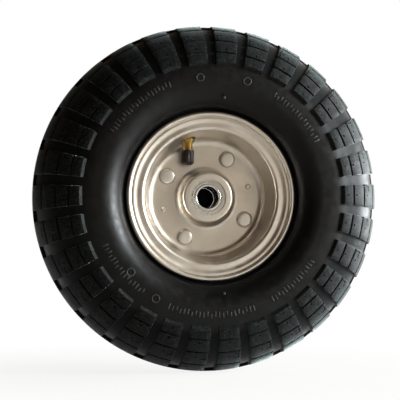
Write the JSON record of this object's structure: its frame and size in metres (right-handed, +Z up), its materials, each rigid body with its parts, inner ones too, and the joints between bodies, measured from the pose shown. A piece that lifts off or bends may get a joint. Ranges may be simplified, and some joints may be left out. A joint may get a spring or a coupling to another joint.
{
  "type": "wheelbarrow wheel",
  "caption": "Pneumatic wheelbarrow wheel: lugged rubber tyre with tube on a riveted split steel rim, ball bearings and a brass tyre valve.",
  "frame": {"origin": "the wheel's centre, on the axle's axis at the tyre's mid-plane", "axes": "+Y along the axle's axis, away from the valve side; +Z up; the valve side faces -Y"},
  "size_m": [0.26, 0.0866, 0.26],
  "materials": {
    "tyre_rubber": "matte",
    "tube_rubber": "matte",
    "zinc_sheet": "satin",
    "rivet_steel": "satin",
    "race_steel": "polished",
    "shield_steel": "satin",
    "valve_brass": "polished",
    "seal_ring": "matte",
    "cap_rubber": "matte",
    "cap_plastic": "gloss"
  },
  "bodies": {
    "axle_side": {"bearing_front_inner_race": "race_steel", "bearing_rear_inner_race": "race_steel", "bearing_spacer": "race_steel"},
    "wheel": {"tyre": "tyre_rubber", "inner_tube": "tube_rubber", "rim_half_front": "zinc_sheet", "rim_half_rear": "zinc_sheet", "rivet_1": "rivet_steel", "rivet_2": "rivet_steel", "rivet_3": "rivet_steel", "rivet_4": "rivet_steel", "valve_base": "tube_rubber", "valve_stem": "valve_brass", "valve_nut": "valve_brass", "valve_core": "valve_brass", "valve_core_seal": "seal_ring", "valve_spring": "race_steel", "bearing_front_outer_race": "race_steel", "bearing_front_outer_shield": "shield_steel", "bearing_front_inner_shield": "shield_steel", "bearing_rear_outer_race": "race_steel", "bearing_rear_outer_shield": "shield_steel", "bearing_rear_inner_shield": "shield_steel"},
    "front_cage": {"bearing_front_cage": "shield_steel", "bearing_front_balls": "race_steel"},
    "rear_cage": {"bearing_rear_cage": "shield_steel", "bearing_rear_balls": "race_steel"},
    "cap_seal": {"valve_cap_seal": "cap_rubber"},
    "cap": {"valve_cap": "cap_plastic"},
    "pin": {"valve_pin": "valve_brass", "valve_cup": "cap_rubber"}
  },
  "joints": [
    {"name": "wheel_spin", "type": "hinge", "parent": "axle_side", "child": "wheel", "pos_m": [0, 0, 0], "axis": [0, 1, 0], "continuous": true},
    {"name": "front_cage_orbit", "type": "hinge", "parent": "axle_side", "child": "front_cage", "pos_m": [0, -0.0065, 0], "axis": [0, 1, 0], "continuous": true},
    {"name": "rear_cage_orbit", "type": "hinge", "parent": "axle_side", "child": "rear_cage", "pos_m": [0, 0.0065, 0], "axis": [0, 1, 0], "continuous": true},
    {"name": "cap_lift", "type": "slide", "parent": "wheel", "child": "cap_seal", "axis": [0, 0, -1], "range_m": [0, 0.00635]},
    {"name": "cap_turn", "type": "hinge", "parent": "cap_seal", "child": "cap", "pos_m": [-0.0147, -0.0088, 0], "axis": [0, 0, -1], "range_deg": [0, 2880]},
    {"name": "pin_press", "type": "slide", "parent": "wheel", "child": "pin", "axis": [0, 0, 1], "range_m": [0, 0.0012], "stiffness_N_per_m": 400, "springref_m": -0.002, "deforming": ["valve_spring"]}
  ],
  "couplings": [
    {"joint": "front_cage_orbit", "follows": "wheel_spin", "ratio": 0.6167},
    {"joint": "rear_cage_orbit", "follows": "wheel_spin", "ratio": 0.6167},
    {"joint": "cap_turn", "follows": "cap_lift", "rad_per_m": 7913.3}
  ]
}
